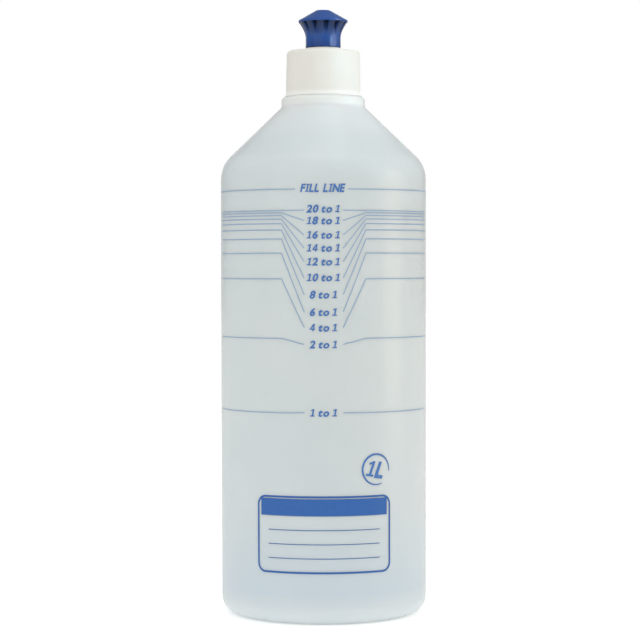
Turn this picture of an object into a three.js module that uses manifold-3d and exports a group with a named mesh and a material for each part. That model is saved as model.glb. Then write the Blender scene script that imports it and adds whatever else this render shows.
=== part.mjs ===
// A one litre mixing bottle with a push-pull dispensing closure.
// Four pieces: a blow-moulded bottle with a threaded neck, a foam sealing liner, a screw cap
// that carries the pouring post, and a spout that slides on the post to open and shut.
// The bottle is one skin, kept as four solids that meet face to face: base, wall, shoulder and neck.
// Millimetres, +Z up, origin at the centre of the base.

import * as THREE from "three";
import { mergeVertices } from "three/addons/utils/BufferGeometryUtils.js";
import Module from "manifold-3d";

// Bottle body
const bodyDiameter = 87;
const bodyHeight = 189.55; // base to the edge where the wall and the shoulder cone would meet
const bodyWall = 1.1;
const shoulderAngle = 46; // degrees between the shoulder cone and the axis
const shoulderFillet = 13;
const footTaper = 0.15; // how far the wall draws in at the foot
const footTaperHeight = 90;
const baseCornerRadius = 7.6;
const baseRingWidth = 4; // flat ring that the bottle stands on
const baseWall = 1.6;
const pushUpHeight = 3.5; // hollow under the middle of the base

// Bottle neck
const neckRingHeight = 3.45;
const neckRingStep = 1.6; // how far the ring stands out past the ledge above it
const neckLedgeChamfer = 1.1;
const neckPlainHeight = 7.85; // ledge to the lowest ridge
const neckRootDiameter = 25.2;
const neckWall = 1.7;
const neckFlareRise = 2.7; // height over which the bore widens into the shoulder
const rimChamfer = 0.4;

// Screw thread, the same ridge on the neck and in the cap
const threadLead = 4.2;
const threadTurns = 1.5;
const threadDepth = 1.1;
const threadRootWidth = 2.2;
const threadCrestWidth = 0.9;
const threadStart = 2.2; // rim to the middle of the highest ridge
const threadRunOut = 40; // degrees over which a ridge fades away at each end
const threadClearance = 0.4; // crest to root
const flankGap = 0.3; // between the bearing flanks of the tightened cap

// Sealing liner
const linerThickness = 1.2;
const linerHole = 11;
const linerClearance = 0.5; // to the inside of the cap

// Screw cap
const capWall = 1.3; // at the top of the skirt
const capDraft = 0.7; // the skirt is wider by this much on each side at its foot
const capLedgeGap = 0.1; // foot of the skirt to the ledge of the neck
const capLedgeInset = 0.05; // the ledge is narrower than the skirt by this much on each side
const capCorner = 1.5;
const capBandHeight = 1.6; // plain band round the foot of the skirt
const capBandStep = 0.12;
const capEdge = 0.25; // chamfer on the foot and on the band
const deckThickness = 1.6;

// Pouring post on the cap
const bossHeight = 1.2; // the seat that the closed spout rests on
const postWall = 1.4;
const postBead = 1.4; // height of the bead that stops the spout
const postTip = 0.5; // post above the bead
const webCount = 3;
const webThickness = 1.2;
const webHeight = 2.2;
const pinRecess = 0.4; // tip of the pin below the top of the closed spout
const pinTip = 0.5; // chamfer on the pin

// Push-pull spout
const pullTravel = 6;
const spoutStemDiameter = 14.9;
const spoutWall = 0.9;
const spoutLip = 0.45; // inward lip at the foot that rides on the post
const spoutLipHeight = 1.8;
const spoutStop = 0.3; // between the lip and the bead when the spout is pulled open
const spoutHeadroom = 0.9; // tip of the post to the level of the rim
const spoutFlareHeight = 6.3;
const spoutFlareFullness = 0.38; // share of its height at which the flare's end tangents meet
const spoutRimOverhang = 3; // rim past the stem, on each side
const spoutRimThickness = 0.8;
const spoutHatHeight = 4.3;
const spoutHatWall = 1.5; // measured upright
const spoutHole = 4;
const spoutHatLand = 0.9; // width of the flat round the hole
const spoutTubeWall = 1.2; // tube that closes on the pin
const spoutTubeGap = 0.3; // end of the tube above the level of the rim
const spoutRibCount = 12;
const spoutRibWidth = 2.1;
const spoutRibStart = 23; // degrees from +X to the first rib
const spoutRibInset = 0.15; // ribs stop short of the edge of the rim

// Fits between pieces
const seatGap = 0.05; // between faces that bear on each other
const slideClearance = 0.3; // between the spout and the post, on each side
const sink = 0.4; // how deep a joined feature is set into the wall that carries it

// Facets
const bottleSegments = 48;
const closureSegments = 48;
const pinSegments = 24;
const threadStepsPerTurn = 24;
const arcSteps = 3; // an arc has twice as many chords

const degrees = THREE.MathUtils.degToRad;

// Radii and levels of the thread and the cap that the neck and the cap share
const neckRootRadius = neckRootDiameter / 2;
const capInnerRadius = neckRootRadius + threadDepth + threadClearance;
const capTopRadius = capInnerRadius + capWall;
const capFootRadius = capTopRadius + capDraft;

// Levels of the bottle above its base
const bodyRadius = bodyDiameter / 2;
const ledgeRadius = capFootRadius - capLedgeInset;
const neckRingRadius = ledgeRadius + neckRingStep;
const ringLevel = bodyHeight + (bodyRadius - neckRingRadius) / Math.tan(degrees(shoulderAngle));
const ledgeLevel = ringLevel + neckRingHeight + neckLedgeChamfer;
const neckHeight = threadStart + threadTurns * threadLead + neckPlainHeight;
const rimLevel = ledgeLevel + neckHeight;

// Skin of the bottle: its round corners, and the levels where its solids meet
const shoulderTurn = degrees(shoulderAngle);
const footRadius = bodyRadius - footTaper;
const ringOuter = footRadius - baseCornerRadius;
const ringInner = ringOuter - baseRingWidth;
const innerCorner = baseCornerRadius - bodyWall;
const innerFillet = shoulderFillet - bodyWall;
const filletCentre = bodyRadius - shoulderFillet;
const filletLevel = bodyHeight - shoulderFillet * Math.tan(shoulderTurn / 2);
const baseSeam = pushUpHeight + baseWall;

// Levels of the closure above the rim of the neck
const deckLevel = linerThickness + 2 * seatGap; // underside of the deck
const skirtDepth = deckLevel + neckHeight - capLedgeGap;
const seatLevel = deckLevel + deckThickness + bossHeight;

// Radii where the spout and the post run on each other
const stemRadius = spoutStemDiameter / 2;
const spoutBoreRadius = stemRadius - spoutWall;
const spoutLipRadius = spoutBoreRadius - spoutLip;
const postRadius = spoutLipRadius - slideClearance;
const postBoreRadius = postRadius - postWall;
const beadRadius = spoutBoreRadius - slideClearance;
const spoutHoleRadius = spoutHole / 2;
const pinRadius = spoutHoleRadius - slideClearance;

// Levels above the foot of the spout
const beadLevel = spoutLipHeight + pullTravel + spoutStop;
const postTopLevel = beadLevel + postBead + postTip;
const spoutRimLevel = postTopLevel + spoutHeadroom;
const spoutHatLevel = spoutRimLevel + spoutRimThickness;
const spoutTopLevel = spoutHatLevel + spoutHatHeight;

const wasm = await Module();
wasm.setup();

// A closed geometry as a solid that can be joined and cut.
function solidOf(geometry) {
  const bare = new THREE.BufferGeometry();
  bare.setAttribute("position", geometry.getAttribute("position"));
  bare.setIndex(geometry.getIndex());
  const merged = mergeVertices(bare, 1e-4);
  const corners = merged.getIndex().array;
  const kept = [];
  for (let i = 0; i < corners.length; i += 3) {
    const [a, b, c] = corners.slice(i, i + 3);
    if (a !== b && b !== c && c !== a) kept.push(a, b, c); // drops the flat faces at a pole
  }
  return new wasm.Manifold(
    new wasm.Mesh({
      numProp: 3,
      vertProperties: new Float32Array(merged.getAttribute("position").array),
      triVerts: new Uint32Array(kept),
    }),
  );
}

// A solid back as a geometry.
function geometryOf(solid) {
  const mesh = solid.getMesh();
  const geometry = new THREE.BufferGeometry();
  geometry.setAttribute("position", new THREE.BufferAttribute(mesh.vertProperties, 3));
  geometry.setIndex(new THREE.BufferAttribute(mesh.triVerts, 1));
  return geometry;
}

// A profile of radius and height turned about +Z.
function turned(path, segments) {
  const lathe = new THREE.LatheGeometry(path.getPoints(arcSteps), segments);
  return lathe.rotateX(Math.PI / 2);
}

// A right-handed thread ridge: a trapezoid carried up a helix from startLevel, fading out at both ends.
// Its root is set into the wall at rootRadius. Its crest points out where side is 1, and in where it is -1.
function threadRidge(rootRadius, side, startLevel) {
  const steps = Math.round(threadTurns * threadStepsPerTurn);
  const foot = rootRadius - side * sink;
  const positions = [];
  for (let i = 0; i <= steps; i++) {
    const angle = (i / steps) * threadTurns * 2 * Math.PI;
    const toEnd = Math.min(i, steps - i) * ((threadTurns * 360) / steps);
    const fade = Math.min(1, toEnd / threadRunOut);
    const crest = rootRadius + side * threadDepth * fade;
    const middle = startLevel + (threadLead * angle) / (2 * Math.PI);
    const section = [
      [foot, -threadRootWidth / 2],
      [crest, -threadCrestWidth / 2],
      [crest, threadCrestWidth / 2],
      [foot, threadRootWidth / 2],
    ];
    for (const [radius, rise] of section) {
      positions.push(radius * Math.cos(angle), radius * Math.sin(angle), middle + rise);
    }
  }
  const faces = [];
  const quad = (a, b, c, d) => faces.push(a, b, c, a, c, d);
  for (let i = 0; i < steps; i++) {
    for (let k = 0; k < 4; k++) {
      const next = (k + 1) % 4;
      quad(4 * i + k, 4 * i + next, 4 * i + 4 + next, 4 * i + 4 + k);
    }
  }
  quad(3, 2, 1, 0);
  quad(4 * steps, 4 * steps + 1, 4 * steps + 2, 4 * steps + 3);
  if (side > 0) faces.reverse();
  const geometry = new THREE.BufferGeometry();
  geometry.setAttribute("position", new THREE.Float32BufferAttribute(positions, 3));
  geometry.setIndex(faces);
  return geometry;
}

// Drop from the neck's ridge to the cap's ridge when the cap is tight: half of both widths
// where they pass each other, and the gap between their flanks.
function threadDrop() {
  const taper = (threadRootWidth - threadCrestWidth) / (threadDepth + sink);
  const passing = threadDepth + threadClearance + 2 * sink;
  return threadRootWidth - (taper * passing) / 2 + flankGap;
}

// Angle at which an arc round the base corner reaches a level.
function cornerAngle(level, centreLevel, radius) {
  return Math.asin((level - centreLevel) / radius);
}

// Base: a flat ring to stand on round a pushed-up middle, up to the height of that middle.
function baseGeometry() {
  const innerLevel = baseWall + innerCorner;
  const profile = new THREE.Path();
  profile.moveTo(0, pushUpHeight);
  profile.quadraticCurveTo(ringInner / 2, pushUpHeight, ringInner, 0);
  profile.lineTo(ringOuter, 0);
  const outerEnd = cornerAngle(baseSeam, baseCornerRadius, baseCornerRadius);
  profile.absarc(ringOuter, baseCornerRadius, baseCornerRadius, -Math.PI / 2, outerEnd, false);
  const innerEnd = cornerAngle(baseSeam, innerLevel, innerCorner);
  profile.absarc(ringOuter, innerLevel, innerCorner, innerEnd, -Math.PI / 2, true);
  profile.lineTo(ringInner, baseWall);
  profile.quadraticCurveTo(ringInner / 2, pushUpHeight + baseWall, 0, pushUpHeight + baseWall);
  return turned(profile, bottleSegments);
}

// Wall: the rest of the base corner and the upright skin.
function wallGeometry() {
  const innerLevel = baseWall + innerCorner;
  const foot = baseSeam + seatGap;
  const top = filletLevel - seatGap;
  const profile = new THREE.Path();
  const outerStart = cornerAngle(foot, baseCornerRadius, baseCornerRadius);
  profile.absarc(ringOuter, baseCornerRadius, baseCornerRadius, outerStart, 0, false);
  profile.lineTo(bodyRadius, footTaperHeight);
  profile.lineTo(bodyRadius, top);
  profile.lineTo(bodyRadius - bodyWall, top);
  profile.lineTo(bodyRadius - bodyWall, footTaperHeight);
  const innerStart = cornerAngle(foot, innerLevel, innerCorner);
  profile.absarc(ringOuter, innerLevel, innerCorner, 0, innerStart, true);
  profile.closePath();
  return turned(profile, bottleSegments);
}

// Shoulder: the fillet and the cone, up to the ring of the neck.
function shoulderGeometry() {
  const top = ringLevel - seatGap;
  const topRadius = neckRingRadius + seatGap * Math.tan(shoulderTurn);
  const profile = new THREE.Path();
  profile.absarc(filletCentre, filletLevel, shoulderFillet, 0, shoulderTurn, false);
  profile.lineTo(topRadius, top);
  profile.lineTo(topRadius - bodyWall / Math.cos(shoulderTurn), top);
  profile.absarc(filletCentre, filletLevel, innerFillet, shoulderTurn, 0, true);
  profile.closePath();
  return turned(profile, bottleSegments);
}

// Neck: ring, ledge for the cap, and the threaded mouth.
function neckGeometry() {
  const boreRadius = neckRootRadius - neckWall;
  const profile = new THREE.Path();
  profile.moveTo(neckRingRadius, ringLevel);
  profile.lineTo(neckRingRadius, ringLevel + neckRingHeight);
  profile.lineTo(ledgeRadius, ledgeLevel);
  profile.lineTo(neckRootRadius, ledgeLevel);
  profile.lineTo(neckRootRadius, rimLevel - rimChamfer);
  profile.lineTo(neckRootRadius - rimChamfer, rimLevel);
  profile.lineTo(boreRadius, rimLevel);
  profile.lineTo(boreRadius, ringLevel + neckFlareRise);
  profile.lineTo(neckRingRadius - bodyWall / Math.cos(shoulderTurn), ringLevel);
  profile.closePath();
  const highest = rimLevel - threadStart;
  const ridge = threadRidge(neckRootRadius, 1, highest - threadTurns * threadLead);
  return geometryOf(solidOf(turned(profile, bottleSegments)).add(solidOf(ridge)));
}

// Liner: a foam washer between the rim and the deck, from level 0 up.
function linerGeometry() {
  const outer = capInnerRadius - linerClearance;
  const profile = new THREE.Path();
  profile.moveTo(linerHole / 2, 0);
  profile.lineTo(outer, 0);
  profile.lineTo(outer, linerThickness);
  profile.lineTo(linerHole / 2, linerThickness);
  profile.closePath();
  return turned(profile, closureSegments);
}

// Screw cap: skirt, deck, boss and post in one, with level 0 at the underside of the deck.
function capGeometry() {
  const deckTop = deckThickness;
  const seat = deckTop + bossHeight;
  const bandTop = -skirtDepth + capBandHeight;
  const wallFootRadius = capFootRadius - capBandStep;
  const bead = seat + beadLevel;
  const postTop = seat + postTopLevel;

  const profile = new THREE.Path();
  profile.moveTo(postBoreRadius, 0);
  profile.lineTo(capInnerRadius, 0);
  profile.lineTo(capInnerRadius, -skirtDepth);
  profile.lineTo(capFootRadius - capEdge, -skirtDepth);
  profile.lineTo(capFootRadius, -skirtDepth + capEdge);
  profile.lineTo(capFootRadius, bandTop - capEdge);
  profile.lineTo(wallFootRadius, bandTop);
  profile.lineTo(capTopRadius, deckTop - capCorner);
  profile.absarc(capTopRadius - capCorner, deckTop - capCorner, capCorner, 0, Math.PI / 2, false);
  profile.lineTo(stemRadius, deckTop);
  profile.lineTo(stemRadius, seat);
  profile.lineTo(postRadius, seat);
  profile.lineTo(postRadius, bead);
  profile.lineTo(beadRadius, bead);
  profile.lineTo(beadRadius, bead + postBead / 2);
  profile.lineTo(postRadius, bead + postBead);
  profile.lineTo(postRadius, postTop);
  profile.lineTo(postBoreRadius, postTop);
  profile.closePath();

  const highest = -(deckLevel + threadStart + threadDrop());
  const ridge = threadRidge(capInnerRadius, -1, highest - threadTurns * threadLead);
  let solid = solidOf(turned(profile, closureSegments)).add(solidOf(ridge));
  for (const piece of pinAndWebs(postTop, seat + spoutTopLevel - pinRecess)) {
    solid = solid.add(solidOf(piece));
  }
  return geometryOf(solid);
}

// The pin that plugs the closed spout, and the webs that hold it in the mouth of the post.
function pinAndWebs(postTop, pinTop) {
  const webFoot = postTop - webHeight;
  const profile = new THREE.Path();
  profile.moveTo(0, webFoot);
  profile.lineTo(pinRadius, webFoot);
  profile.lineTo(pinRadius, pinTop - pinTip);
  profile.lineTo(pinRadius - pinTip, pinTop);
  profile.lineTo(0, pinTop);
  const pieces = [turned(profile, pinSegments)];
  const reach = postBoreRadius + sink;
  for (let i = 0; i < webCount; i++) {
    const web = new THREE.BoxGeometry(reach, webThickness, webHeight);
    web.translate(reach / 2, 0, webFoot + webHeight / 2);
    pieces.push(web.rotateZ((i / webCount) * 2 * Math.PI));
  }
  return pieces;
}

// Push-pull spout: sleeve, ribbed flare, rim and hat in one, with level 0 at its foot.
function spoutGeometry() {
  const rimRadius = stemRadius + spoutRimOverhang;
  const hatTopRadius = spoutHoleRadius + spoutHatLand;
  const tubeRadius = spoutHoleRadius + spoutTubeWall;
  const hatSlope = spoutHatHeight / (rimRadius - hatTopRadius);
  const ceiling = (radius) => spoutTopLevel - spoutHatWall - hatSlope * Math.max(0, radius - hatTopRadius);

  const profile = new THREE.Path();
  profile.moveTo(spoutLipRadius, 0);
  profile.lineTo(stemRadius, 0);
  profile.lineTo(stemRadius, spoutRimLevel);
  profile.lineTo(rimRadius, spoutRimLevel);
  profile.lineTo(rimRadius, spoutHatLevel);
  profile.lineTo(hatTopRadius, spoutTopLevel);
  profile.lineTo(spoutHoleRadius, spoutTopLevel);
  profile.lineTo(spoutHoleRadius, spoutRimLevel + spoutTubeGap);
  profile.lineTo(tubeRadius, spoutRimLevel + spoutTubeGap);
  profile.lineTo(tubeRadius, ceiling(tubeRadius));
  profile.lineTo(spoutBoreRadius, ceiling(spoutBoreRadius));
  profile.lineTo(spoutBoreRadius, spoutLipHeight + spoutLip);
  profile.lineTo(spoutLipRadius, spoutLipHeight);
  profile.closePath();

  let solid = solidOf(turned(profile, closureSegments));
  for (let i = 0; i < spoutRibCount; i++) {
    const rib = spoutRib(rimRadius - spoutRibInset);
    const turn = degrees(spoutRibStart + (360 * i) / spoutRibCount);
    solid = solid.add(solidOf(rib.rotateZ(turn)));
  }
  return geometryOf(solid);
}

// One finger rib: a plate whose edge sweeps out from the stem to the rim.
function spoutRib(reach) {
  const flareFoot = spoutRimLevel - spoutFlareHeight;
  const inside = stemRadius - sink;
  const outline = new THREE.Shape();
  outline.moveTo(inside, flareFoot);
  outline.lineTo(stemRadius, flareFoot);
  const bend = flareFoot + spoutFlareFullness * spoutFlareHeight;
  outline.quadraticCurveTo(stemRadius, bend, reach, spoutRimLevel);
  outline.lineTo(reach, spoutRimLevel + sink);
  outline.lineTo(inside, spoutRimLevel + sink);
  outline.closePath();
  const rib = new THREE.ExtrudeGeometry(outline, {
    depth: spoutRibWidth,
    bevelEnabled: false,
    curveSegments: 2 * arcSteps,
  });
  return rib.rotateX(Math.PI / 2).translate(0, spoutRibWidth / 2, 0);
}

// Finishes
const bottlePlastic = new THREE.MeshStandardMaterial({
  color: 0xd5dcde,
  roughness: 0.42,
  metalness: 0,
  transparent: true,
  opacity: 0.8,
});
const linerFoam = new THREE.MeshStandardMaterial({ color: 0xf2f2ee, roughness: 0.85, metalness: 0 });
const capPlastic = new THREE.MeshStandardMaterial({ color: 0xecebe5, roughness: 0.45, metalness: 0 });
const spoutPlastic = new THREE.MeshStandardMaterial({ color: 0x2c4da0, roughness: 0.35, metalness: 0 });

function piece(name, geometry, material, level) {
  const mesh = new THREE.Mesh(geometry, material);
  mesh.name = name;
  mesh.position.z = level;
  return mesh;
}

const closure = new THREE.Group();
closure.position.z = rimLevel;
closure.add(piece("cap_liner", linerGeometry(), linerFoam, seatGap));
closure.add(piece("screw_cap", capGeometry(), capPlastic, deckLevel));
closure.add(piece("push_pull_spout", spoutGeometry(), spoutPlastic, seatLevel + seatGap));

const bottle = new THREE.Group();
bottle.add(piece("bottle_base", baseGeometry(), bottlePlastic, 0));
bottle.add(piece("bottle_wall", wallGeometry(), bottlePlastic, 0));
bottle.add(piece("bottle_shoulder", shoulderGeometry(), bottlePlastic, 0));
bottle.add(piece("bottle_neck", neckGeometry(), bottlePlastic, 0));

const mixingBottle = new THREE.Group();
mixingBottle.add(bottle);
mixingBottle.add(closure);

export default mixingBottle;
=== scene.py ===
# A one litre mixing bottle: milky body with a printed scale, screw cap and push-pull spout.
# Sizes in the dictionaries are millimetres and degrees; meshes are in metres, in the frame of the CAD model.

import math

import bpy
import numpy as np
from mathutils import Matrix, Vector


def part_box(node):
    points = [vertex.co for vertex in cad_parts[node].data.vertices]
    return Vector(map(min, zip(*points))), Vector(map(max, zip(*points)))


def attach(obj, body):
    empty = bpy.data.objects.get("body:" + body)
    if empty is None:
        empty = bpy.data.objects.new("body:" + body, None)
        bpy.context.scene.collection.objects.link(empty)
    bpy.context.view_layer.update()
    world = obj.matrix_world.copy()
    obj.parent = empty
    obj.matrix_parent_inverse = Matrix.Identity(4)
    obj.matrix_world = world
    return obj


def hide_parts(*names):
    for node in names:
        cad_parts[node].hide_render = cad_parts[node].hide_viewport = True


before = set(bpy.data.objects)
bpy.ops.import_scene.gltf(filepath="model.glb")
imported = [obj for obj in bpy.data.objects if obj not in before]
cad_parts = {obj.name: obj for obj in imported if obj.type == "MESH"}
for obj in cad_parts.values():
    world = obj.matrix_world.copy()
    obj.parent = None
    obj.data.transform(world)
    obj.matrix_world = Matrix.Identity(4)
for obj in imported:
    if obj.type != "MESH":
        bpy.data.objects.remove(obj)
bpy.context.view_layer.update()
mm = 0.001
fullTurn = 2 * math.pi
tiny = 1e-6  # radii or levels closer than this count as the same
arcStep = 10.0  # most degrees between the points of a rounded corner
print("frame loaded with", len(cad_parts), "nodes")

# Levels and radii that the CAD model sets, in millimetres
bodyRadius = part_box("bottle_wall")[1].x / mm
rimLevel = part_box("bottle_neck")[1].z / mm
linerFoot, linerTop = (corner.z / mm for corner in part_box("cap_liner"))
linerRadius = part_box("cap_liner")[1].x / mm
skirtFoot, pinTop = (corner.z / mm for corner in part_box("screw_cap"))
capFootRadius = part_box("screw_cap")[1].x / mm
spoutFoot, spoutTop = (corner.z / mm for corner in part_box("push_pull_spout"))
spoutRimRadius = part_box("push_pull_spout")[1].x / mm

# The screw thread on the neck and in the cap
thread = dict(
    lead=4.2,
    turns=1.5,
    depth=1.1,
    rootWidth=2.2,
    crestWidth=0.9,
    runOut=40.0,
    belowRim=2.2,
    neckRoot=12.6,
    clearance=0.4,
    capDrop=1.5,  # the cap's ridge below the neck's when the cap is tight
)
capBore = thread["neckRoot"] + thread["depth"] + thread["clearance"]


# Shape tools


# A vector over its length.
def unit(vector):
    return vector / np.linalg.norm(vector)


# 0 below low and 1 above high, with 3 t^2 - 2 t^3 between them.
def smoothStep(low, high, value):
    share = np.clip((value - low) / (high - low), 0, 1)
    return share * share * (3 - 2 * share)


# Each corner is (radius, level, rounding, step). It becomes an arc that touches both of its sides, and the
# straight run after it is cut into lengths of about step.
def roundedOutline(corners, loop):
    spots = np.array([corner[:2] for corner in corners], float)
    arcs = []
    for i, corner in enumerate(corners):
        here, rounding = spots[i], corner[2]
        if not rounding:
            arcs.append(here[None])
            continue
        back = unit(spots[i - 1] - here)
        ahead = unit(spots[(i + 1) % len(spots)] - here)
        half = math.acos(np.clip(back @ ahead, -1, 1)) / 2
        middle = here + unit(back + ahead) * rounding / math.sin(half)
        outward = unit(here - middle)
        across = np.array([-outward[1], outward[0]])
        across = across * np.sign(across @ ahead)
        swing = math.pi / 2 - half
        turn = np.linspace(-swing, swing, 3 + int(math.degrees(2 * swing) / arcStep))[:, None]
        arcs.append(middle + rounding * (np.cos(turn) * outward + np.sin(turn) * across))
    line = []
    for i, arc in enumerate(arcs):
        line.append(arc)
        if i + 1 < len(arcs) or loop:
            start, end = arc[-1], arcs[(i + 1) % len(arcs)][0]
            pieces = max(1, math.ceil(np.linalg.norm(end - start) / corners[i][3]))
            line.append(start + (end - start) * np.arange(1, pieces)[:, None] / pieces)
    return np.vstack(line)


# Angles of evenly spaced columns all round.
def evenAngles(count):
    return np.arange(count) * fullTurn / count


# An outline turned about +Z: x = r cos a, y = r sin a, z = level. shift(angle, radius, level) may add to
# r and z. A loop joins its last row to its first; any other outline starts and ends on the axis, in a fan.
def turned(outline, angles, loop, shift=None):
    radius = np.repeat(outline[:, :1], len(angles), 1)
    level = np.repeat(outline[:, 1:], len(angles), 1)
    angle = np.broadcast_to(angles, radius.shape)
    if shift:
        moreRadius, moreLevel = shift(angle, radius, level)
        radius, level = radius + moreRadius, level + moreLevel
    grid = np.stack([radius * np.cos(angle), radius * np.sin(angle), level], -1)
    inner = grid if loop else grid[1:-1]
    points = inner.reshape(-1, 3)
    index = np.arange(len(points)).reshape(inner.shape[:2])
    below = index if loop else index[:-1]
    above = np.roll(index, -1, 0) if loop else index[1:]
    faces = [np.stack([below, np.roll(below, -1, 1), np.roll(above, -1, 1), above], -1).reshape(-1, 4)]
    if not loop:
        foot, top = len(points), len(points) + 1
        points = np.vstack([points, grid[0, :1], grid[-1, :1]])
        first, last = index[0], index[-1]
        faces.append(np.stack([np.full_like(first, foot), np.roll(first, -1), first], -1))
        faces.append(np.stack([last, np.roll(last, -1), np.full_like(last, top)], -1))
    return points, faces


# A four-sided bar through sections of four corners each, shape (sections, 4, 3), with flat ends. Seen from
# the first section, the corners run clockwise round the way to the next one.
def bar(sections):
    count = len(sections)
    index = np.arange(count * 4).reshape(count, 4)
    near, far = index[:-1], index[1:]
    sides = np.stack([near, far, np.roll(far, -1, 1), np.roll(near, -1, 1)], -1).reshape(-1, 4)
    ends = np.stack([index[0], index[-1, ::-1]])
    return sections.reshape(-1, 3), [sides, ends]


# Puts surfaces, each (points in millimetres, [face arrays]), into one mesh that rides on a body.
def makePiece(name, surfaces, material, body, replaced=(), crease=40.0):
    points, faces, offset = [], [], 0
    for surfacePoints, surfaceFaces in surfaces:
        points.append(surfacePoints)
        for block in surfaceFaces:
            faces.extend((block + offset).tolist())
        offset += len(surfacePoints)
    mesh = bpy.data.meshes.new(name)
    mesh.from_pydata((np.vstack(points) * mm).tolist(), [], faces)
    mesh.shade_smooth()
    mesh.set_sharp_from_angle(angle=math.radians(crease))
    mesh.materials.append(material)
    piece = bpy.data.objects.new(name, mesh)
    bpy.context.scene.collection.objects.link(piece)
    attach(piece, body)
    if replaced:
        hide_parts(*replaced)
    print(name, "has", len(faces), "faces")


# Height of a right-handed thread ridge at an angle and level, from the helix level = foot + lead * angle /
# turn. Across the ridge it is a trapezoid with softened edges, and it fades away at both ends.
def ridgeHeight(angle, level, foot):
    lead = thread["lead"]
    lap = np.mod(angle, fullTurn) / fullTurn
    climb = (level - foot) / lead - lap
    nearest = np.round(climb)
    offset = np.abs(climb - nearest) * lead
    along = nearest + lap
    fade = np.clip(np.minimum(along, thread["turns"] - along) * 360 / thread["runOut"], 0, 1)
    flank = 1 - smoothStep(thread["crestWidth"] / 2, thread["rootWidth"] / 2, offset)
    return thread["depth"] * smoothStep(0, 1, fade) * flank


# Material tools


# An sRGB hex colour as linear red, green, blue and alpha.
def linear(hexColour):
    channels = [int(hexColour[i:i + 2], 16) / 255 for i in (1, 3, 5)]
    return tuple(c / 12.92 if c <= 0.04045 else ((c + 0.055) / 1.055) ** 2.4 for c in channels) + (1.0,)


# Adds one node: settings are properties or input values, links are input names or numbers to sockets.
def addNode(tree, kind, settings, links=None):
    node = tree.nodes.new(kind)
    for key, value in settings.items():
        if isinstance(key, int) or key in node.inputs:
            node.inputs[key].default_value = value
        else:
            setattr(node, key, value)
    for key, socket in (links or {}).items():
        tree.links.new(socket, node.inputs[key])
    return node


# A node material with no nodes yet.
def newMaterial(name):
    material = bpy.data.materials.new(name)
    material.use_nodes = True
    material.node_tree.nodes.clear()
    return material, material.node_tree


# Scale of a pattern of a size in millimetres: one over that size in metres.
def perMetre(size):
    return 1 / (size * mm)


# Natural high-density polyethylene, blow moulded: milky, lets light through, satin from the mould's fine
# blast, with faint upright lines from the die. Its colour is whiter at the neck and the base, and bluer just
# above the base. Lines and blast are drawn coarser than they are, so that they show.
naturalPolyethylene = dict(
    tints=(  # level and colour
        (0, "#e8f0f4"), (6, "#e5eef3"), (13, "#d9e6f1"), (45, "#e2ecef"), (110, "#e4edec"),
        (180, "#e2ebec"), (200, "#e3eef0"), (208, "#ecf5f6"), (213, "#eef6f5"), (215, "#f7fbf7"),
        (216.2, "#f6f9f3"), (217.4, "#eff1eb"), (219, "#eaebe5"), (236, "#eff3f2"),
    ),
    topLevel=240.0,
    cloud=38.0,
    cloudTint="#f4f8fa",
    dieLine=2.6,
    dieLineDepth=0.012,
    dieLineDraw=0.03,  # scale of the pattern along Z, which draws the lines out upright
    blast=0.55,
    blastDepth=0.006,
    roughness=(0.2, 0.25),
    ior=1.54,
    scatter=(2.4, 2.4, 2.4),
)


# Colour is a ramp by height times a cloud, which also sets the gloss. Die lines and blast are bumps.
def makePolyethylene(s):
    material, tree = newMaterial("natural-polyethylene")
    place = addNode(tree, "ShaderNodeTexCoord", {}).outputs["Object"]
    upright = addNode(tree, "ShaderNodeMapping", {"Scale": (1, 1, s["dieLineDraw"])}, {"Vector": place})
    cloud = addNode(tree, "ShaderNodeTexNoise", {"Scale": perMetre(s["cloud"]), "Detail": 2},
                    {"Vector": place})
    level = addNode(tree, "ShaderNodeSeparateXYZ", {}, {0: place}).outputs["Z"]
    height = addNode(tree, "ShaderNodeMapRange", {2: s["topLevel"] * mm}, {0: level})
    byHeight = addNode(tree, "ShaderNodeValToRGB", {}, {0: height.outputs[0]})
    ramp = byHeight.color_ramp.elements
    for i, (rung, tint) in enumerate(s["tints"]):
        element = ramp[i] if i < 2 else ramp.new(1)
        element.position = rung / s["topLevel"]
        element.color = linear(tint)
    clouded = addNode(tree, "ShaderNodeMix",
                      {"data_type": "RGBA", 6: linear("#ffffff"), 7: linear(s["cloudTint"])},
                      {0: cloud.outputs[0]})
    colour = addNode(tree, "ShaderNodeMix", {"data_type": "RGBA", "blend_type": "MULTIPLY", 0: 1.0},
                     {6: byHeight.outputs[0], 7: clouded.outputs[2]})
    lines = addNode(tree, "ShaderNodeTexNoise", {"Scale": perMetre(s["dieLine"]), "Detail": 1},
                    {"Vector": upright.outputs[0]})
    lineBump = addNode(tree, "ShaderNodeBump", {"Strength": 1, "Distance": s["dieLineDepth"] * mm},
                       {"Height": lines.outputs[0]})
    blast = addNode(tree, "ShaderNodeTexNoise", {"Scale": perMetre(s["blast"]), "Detail": 2},
                    {"Vector": place})
    bump = addNode(tree, "ShaderNodeBump", {"Strength": 1, "Distance": s["blastDepth"] * mm},
                   {"Height": blast.outputs[0], "Normal": lineBump.outputs[0]})
    smooth, dull = s["roughness"]
    gloss = addNode(tree, "ShaderNodeMapRange", {3: smooth, 4: dull}, {0: cloud.outputs[0]})
    shader = addNode(tree, "ShaderNodeBsdfPrincipled",
                     {"IOR": s["ior"], "Subsurface Weight": 1.0, "Subsurface Scale": mm,
                      "Subsurface Radius": s["scatter"]},
                     {"Base Color": colour.outputs[2], "Roughness": gloss.outputs[0],
                      "Normal": bump.outputs[0]})
    addNode(tree, "ShaderNodeOutputMaterial", {}, {"Surface": shader.outputs[0]})
    return material
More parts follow.
